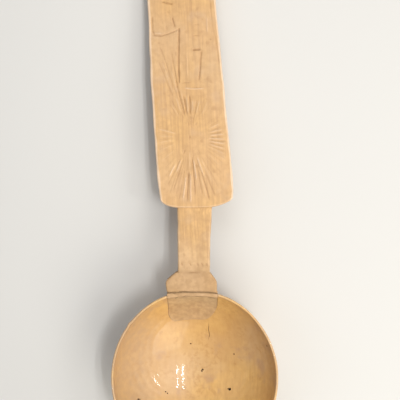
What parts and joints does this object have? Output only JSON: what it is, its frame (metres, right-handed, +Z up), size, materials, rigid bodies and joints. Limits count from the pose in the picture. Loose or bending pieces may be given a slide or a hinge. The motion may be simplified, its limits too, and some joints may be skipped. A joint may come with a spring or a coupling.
{
  "type": "carved wooden ladle",
  "caption": "Hand-carved wooden ladle with a deep oval bowl and a let-in handle that has a stepped collar, a narrow neck and a broad incised panel.",
  "frame": {"origin": "centre of the small worn flat that the bowl rests on", "axes": "+Y along the handle from the bowl to the tip, +Z up from the table, +X to the right seen from above with the handle away from the viewer"},
  "size_m": [0.1054, 0.3229, 0.0491],
  "materials": {
    "bowl_wood": "hollowed smooth, waxed by use, satin",
    "handle_wood": "knife-carved, dry and matte, worn paler on the edges",
    "seam_glue": "old dark glue and dirt in the joint line, dull"
  },
  "bodies": {
    "root": {"bowl": "bowl_wood", "handle": "handle_wood", "glue_seam": "seam_glue"}
  },
  "joints": []
}
